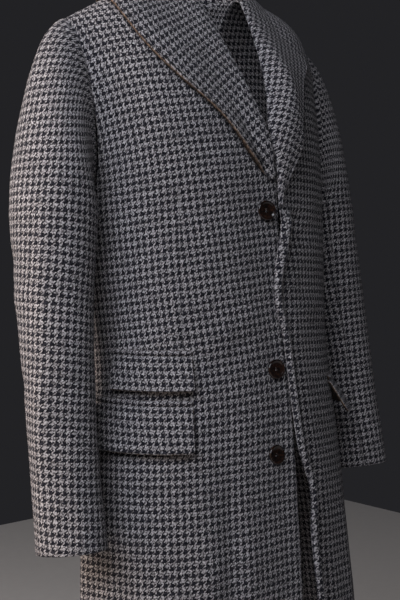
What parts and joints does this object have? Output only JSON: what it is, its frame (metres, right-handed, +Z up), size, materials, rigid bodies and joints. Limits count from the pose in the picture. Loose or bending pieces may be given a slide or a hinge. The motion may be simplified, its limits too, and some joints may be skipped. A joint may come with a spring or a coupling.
{
  "type": "overcoat",
  "caption": "Long single-breasted houndstooth overcoat in its worn shape: shawl collar, set-in sleeves, pocket flaps and horn buttons.",
  "frame": {"origin": "midway between the two shoulder seams, where the wearer's shoulders carry the coat", "axes": "+Z up along the coat; the wearer faces -Y, so the wearer's right sleeve is on -X and the left sleeve on +X"},
  "size_m": [0.6188, 0.3298, 1.1101],
  "materials": {
    "tweed": "brushed wool houndstooth in near-black and grey-beige",
    "horn": "polished dark brown horn"
  },
  "bodies": {
    "root": {"front_right": "tweed", "front_left": "tweed", "back": "tweed", "sleeve_right_upper": "tweed", "sleeve_right_under": "tweed", "sleeve_left_upper": "tweed", "sleeve_left_under": "tweed", "shawl_collar_right": "tweed", "shawl_collar_left": "tweed", "ticket_flap_right": "tweed", "pocket_flap_right": "tweed", "pocket_flap_left": "tweed", "button_1": "horn", "button_2": "horn", "button_3": "horn"}
  },
  "joints": []
}
